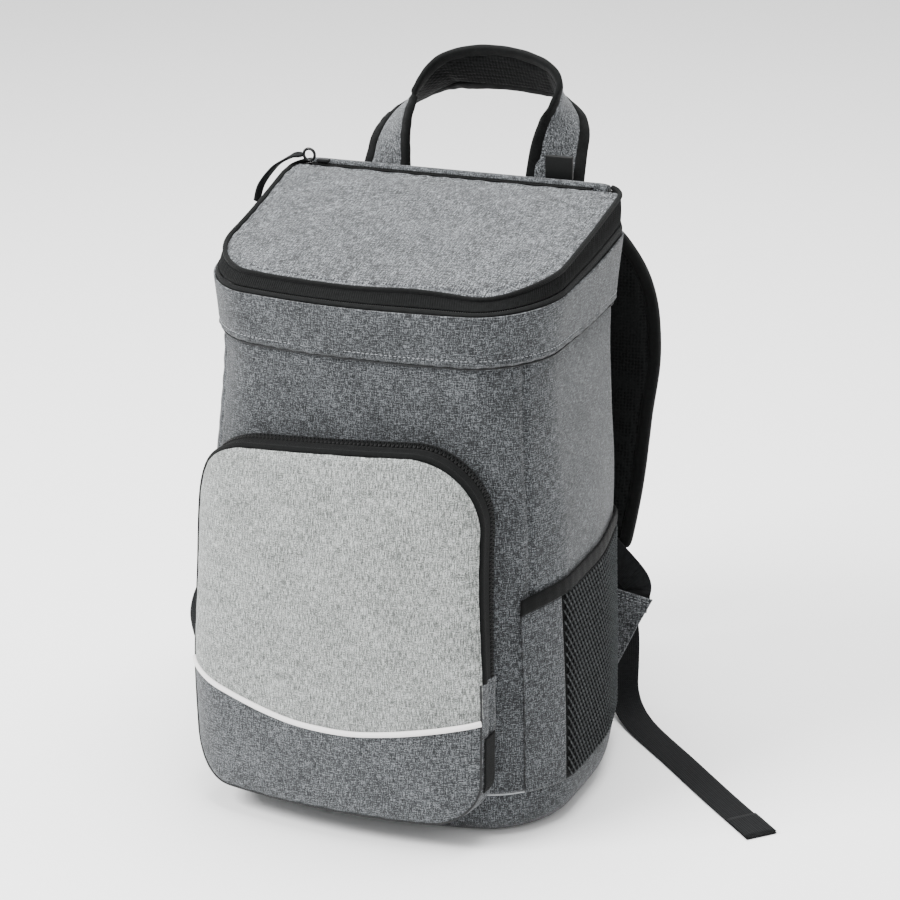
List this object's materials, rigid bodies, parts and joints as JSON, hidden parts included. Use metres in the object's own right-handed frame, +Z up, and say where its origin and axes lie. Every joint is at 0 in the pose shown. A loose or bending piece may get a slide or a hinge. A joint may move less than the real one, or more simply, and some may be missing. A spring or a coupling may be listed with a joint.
{
  "type": "cooler backpack",
  "caption": "Heather grey soft cooler backpack with a zipped lid, front pocket, mesh side pockets, carry handle and shoulder straps.",
  "frame": {"origin": "on the floor under the middle of the bag", "axes": "+Z up, -Y out of the front of the bag, +X to the right as seen from the front"},
  "size_m": [0.4525, 0.3465, 0.5343],
  "materials": {
    "mid_heather": "woven heather grey polyester, matt",
    "lid_heather": "woven heather grey polyester, matt",
    "dark_heather": "woven dark heather grey polyester, matt",
    "pale_heather": "woven light heather grey polyester, matt",
    "black_webbing": "woven black webbing and tape, matt",
    "black_mesh": "black knitted spacer mesh, matt",
    "black_plastic": "moulded black plastic, satin",
    "pale_trim": "white reflective piping, satin"
  },
  "bodies": {
    "root": {"base_tray": "dark_heather", "body_wall": "mid_heather", "collar_panel": "mid_heather", "back_hem": "mid_heather", "back_pad": "black_mesh", "lid_zip_lower_strip": "black_webbing", "lid_zip_tape": "black_webbing", "lid_edge_piping": "black_webbing", "lid_panel": "lid_heather", "rear_zip": "black_webbing", "rear_slider": "black_plastic", "rear_pull_ring": "black_plastic", "rear_pull": "black_webbing", "pocket_panel": "pale_heather", "pocket_yoke": "dark_heather", "pocket_gusset": "dark_heather", "pocket_zip_outer_tape": "black_webbing", "pocket_zip_chain": "black_plastic", "pocket_zip_inner_tape": "black_webbing", "pocket_edge_piping": "black_webbing", "pocket_pale_piping": "pale_trim", "pocket_label": "black_webbing", "pocket_slider": "black_plastic", "pocket_pull_ring": "black_plastic", "pocket_pull": "black_webbing", "side_strip_right": "mid_heather", "side_mesh_right": "black_mesh", "side_binding_right": "black_webbing", "side_strip_left": "mid_heather", "side_mesh_left": "black_mesh", "side_binding_left": "black_webbing", "handle_strap": "mid_heather", "handle_binding_inner": "black_webbing", "handle_binding_outer": "black_webbing", "handle_keeper": "black_plastic", "strap_pad_right": "black_mesh", "strap_binding_a_right": "black_webbing", "strap_binding_b_right": "black_webbing", "ladder_lock_right": "black_plastic", "anchor_tab_right": "mid_heather", "webbing_tail_right": "black_webbing", "anchor_webbing_right": "black_webbing", "strap_pad_left": "black_mesh", "strap_binding_a_left": "black_webbing", "strap_binding_b_left": "black_webbing", "ladder_lock_left": "black_plastic", "anchor_tab_left": "mid_heather", "webbing_tail_left": "black_webbing", "anchor_webbing_left": "black_webbing"}
  },
  "joints": []
}
